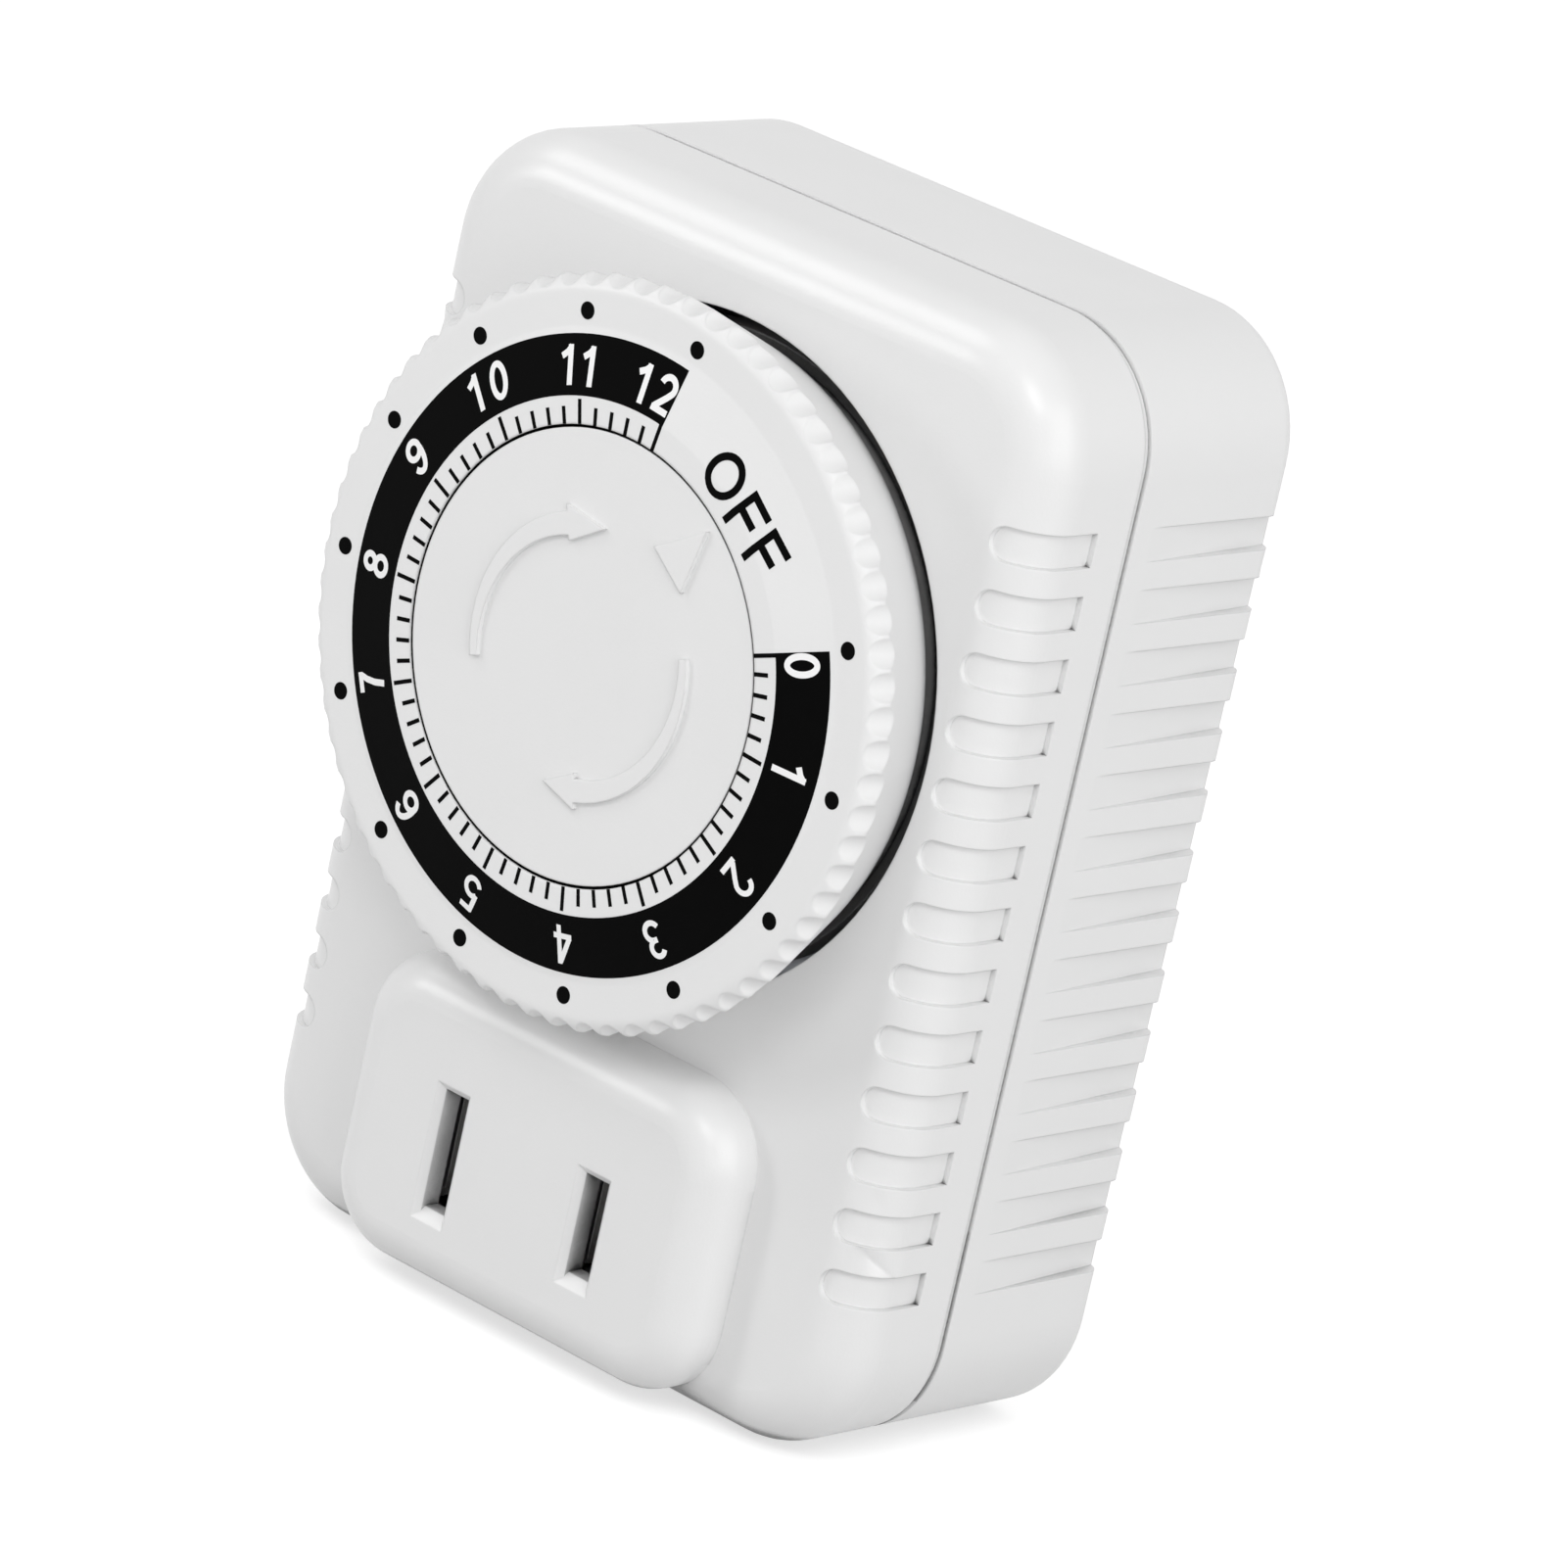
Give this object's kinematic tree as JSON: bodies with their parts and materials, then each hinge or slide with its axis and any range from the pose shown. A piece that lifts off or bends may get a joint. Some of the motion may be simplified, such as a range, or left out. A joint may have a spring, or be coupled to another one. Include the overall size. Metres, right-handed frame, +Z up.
{
  "type": "plug-in timer switch",
  "caption": "Plug-in timer switch: a rounded case with rear blades, a slotted outlet block and a fluted countdown dial driven by a geared motor through a friction clutch.",
  "frame": {"origin": "on the case's rear face, which rests against the wall plate, half-way between the two blades", "axes": "+Z up along the case's height, +Y into the wall along the blades, -Y out of the front, +X to the right as seen from the front; the live side is at +X"},
  "size_m": [0.052, 0.0497, 0.074],
  "materials": {
    "white_shell": "fine satin, warm white",
    "white_dial": "fine satin, printed in black",
    "grey_cam": "moulded, satin",
    "acetal": "moulded, natural",
    "amber_plastic": "moulded, satin",
    "wire_cover": "extruded, satin",
    "zinc_steel": "zinc plated",
    "bright_steel": "turned",
    "spring_steel": "tempered",
    "gear_brass": "turned",
    "blade_brass": "nickel plated brass",
    "strip_brass": "stamped",
    "clip_plate": "tin plated brass, satin",
    "rivet_brass": "headed",
    "leaf_bronze": "rolled phosphor bronze",
    "contact_silver": "silver alloy, satin"
  },
  "bodies": {
    "case": {"front_cover": "white_shell", "rear_cover": "white_shell", "case_screws": "zinc_steel", "pointer_disc": "white_dial", "centre_post": "bright_steel", "rear_plate": "zinc_steel", "front_plate": "zinc_steel", "plate_pillars": "gear_brass", "plate_screws": "zinc_steel", "motor_can": "zinc_steel", "motor_flange": "zinc_steel", "motor_screws": "zinc_steel", "terminal_block": "amber_plastic", "terminal_pins": "strip_brass", "line_lead": "wire_cover", "neutral_lead": "wire_cover", "line_blade": "blade_brass", "neutral_blade": "blade_brass", "line_clip": "clip_plate", "neutral_clip": "clip_plate", "line_strip": "strip_brass", "neutral_strip": "strip_brass", "switched_strip": "strip_brass", "contact_leaf": "leaf_bronze", "moving_contact": "contact_silver", "fixed_contact": "contact_silver", "leaf_rivet": "rivet_brass"},
    "main_wheel": {"main_wheel": "acetal", "drive_collar": "bright_steel", "clutch_spring": "spring_steel"},
    "dial": {"dial": "white_dial", "switch_cam": "grey_cam"},
    "second_arbor": {"second_wheel": "acetal", "second_pinion": "gear_brass"},
    "first_arbor": {"first_wheel": "acetal", "first_pinion": "gear_brass"},
    "motor_pinion": {"drive_pinion": "gear_brass"}
  },
  "joints": [
    {"name": "train_run", "type": "hinge", "parent": "case", "child": "main_wheel", "pos_m": [0, -0.01665, 0.0363], "axis": [0, 1, 0], "continuous": true, "deforming": ["contact_leaf", "moving_contact"]},
    {"name": "dial_set", "type": "hinge", "parent": "main_wheel", "child": "dial", "pos_m": [0, -0.027, 0.0363], "axis": [0, 1, 0], "continuous": true, "deforming": ["contact_leaf", "moving_contact"]},
    {"name": "second_arbor_spin", "type": "hinge", "parent": "case", "child": "second_arbor", "pos_m": [-0.0115, -0.01525, 0.02311], "axis": [0, 1, 0], "continuous": true},
    {"name": "first_arbor_spin", "type": "hinge", "parent": "case", "child": "first_arbor", "pos_m": [0.0002, -0.01385, 0.01951], "axis": [0, 1, 0], "continuous": true},
    {"name": "motor_pinion_spin", "type": "hinge", "parent": "case", "child": "motor_pinion", "pos_m": [0.0002, -0.01385, 0.02826], "axis": [0, 1, 0], "continuous": true}
  ],
  "couplings": [
    {"joint": "second_arbor_spin", "follows": "train_run", "ratio": -6},
    {"joint": "first_arbor_spin", "follows": "train_run", "ratio": 36},
    {"joint": "motor_pinion_spin", "follows": "train_run", "ratio": -144}
  ]
}
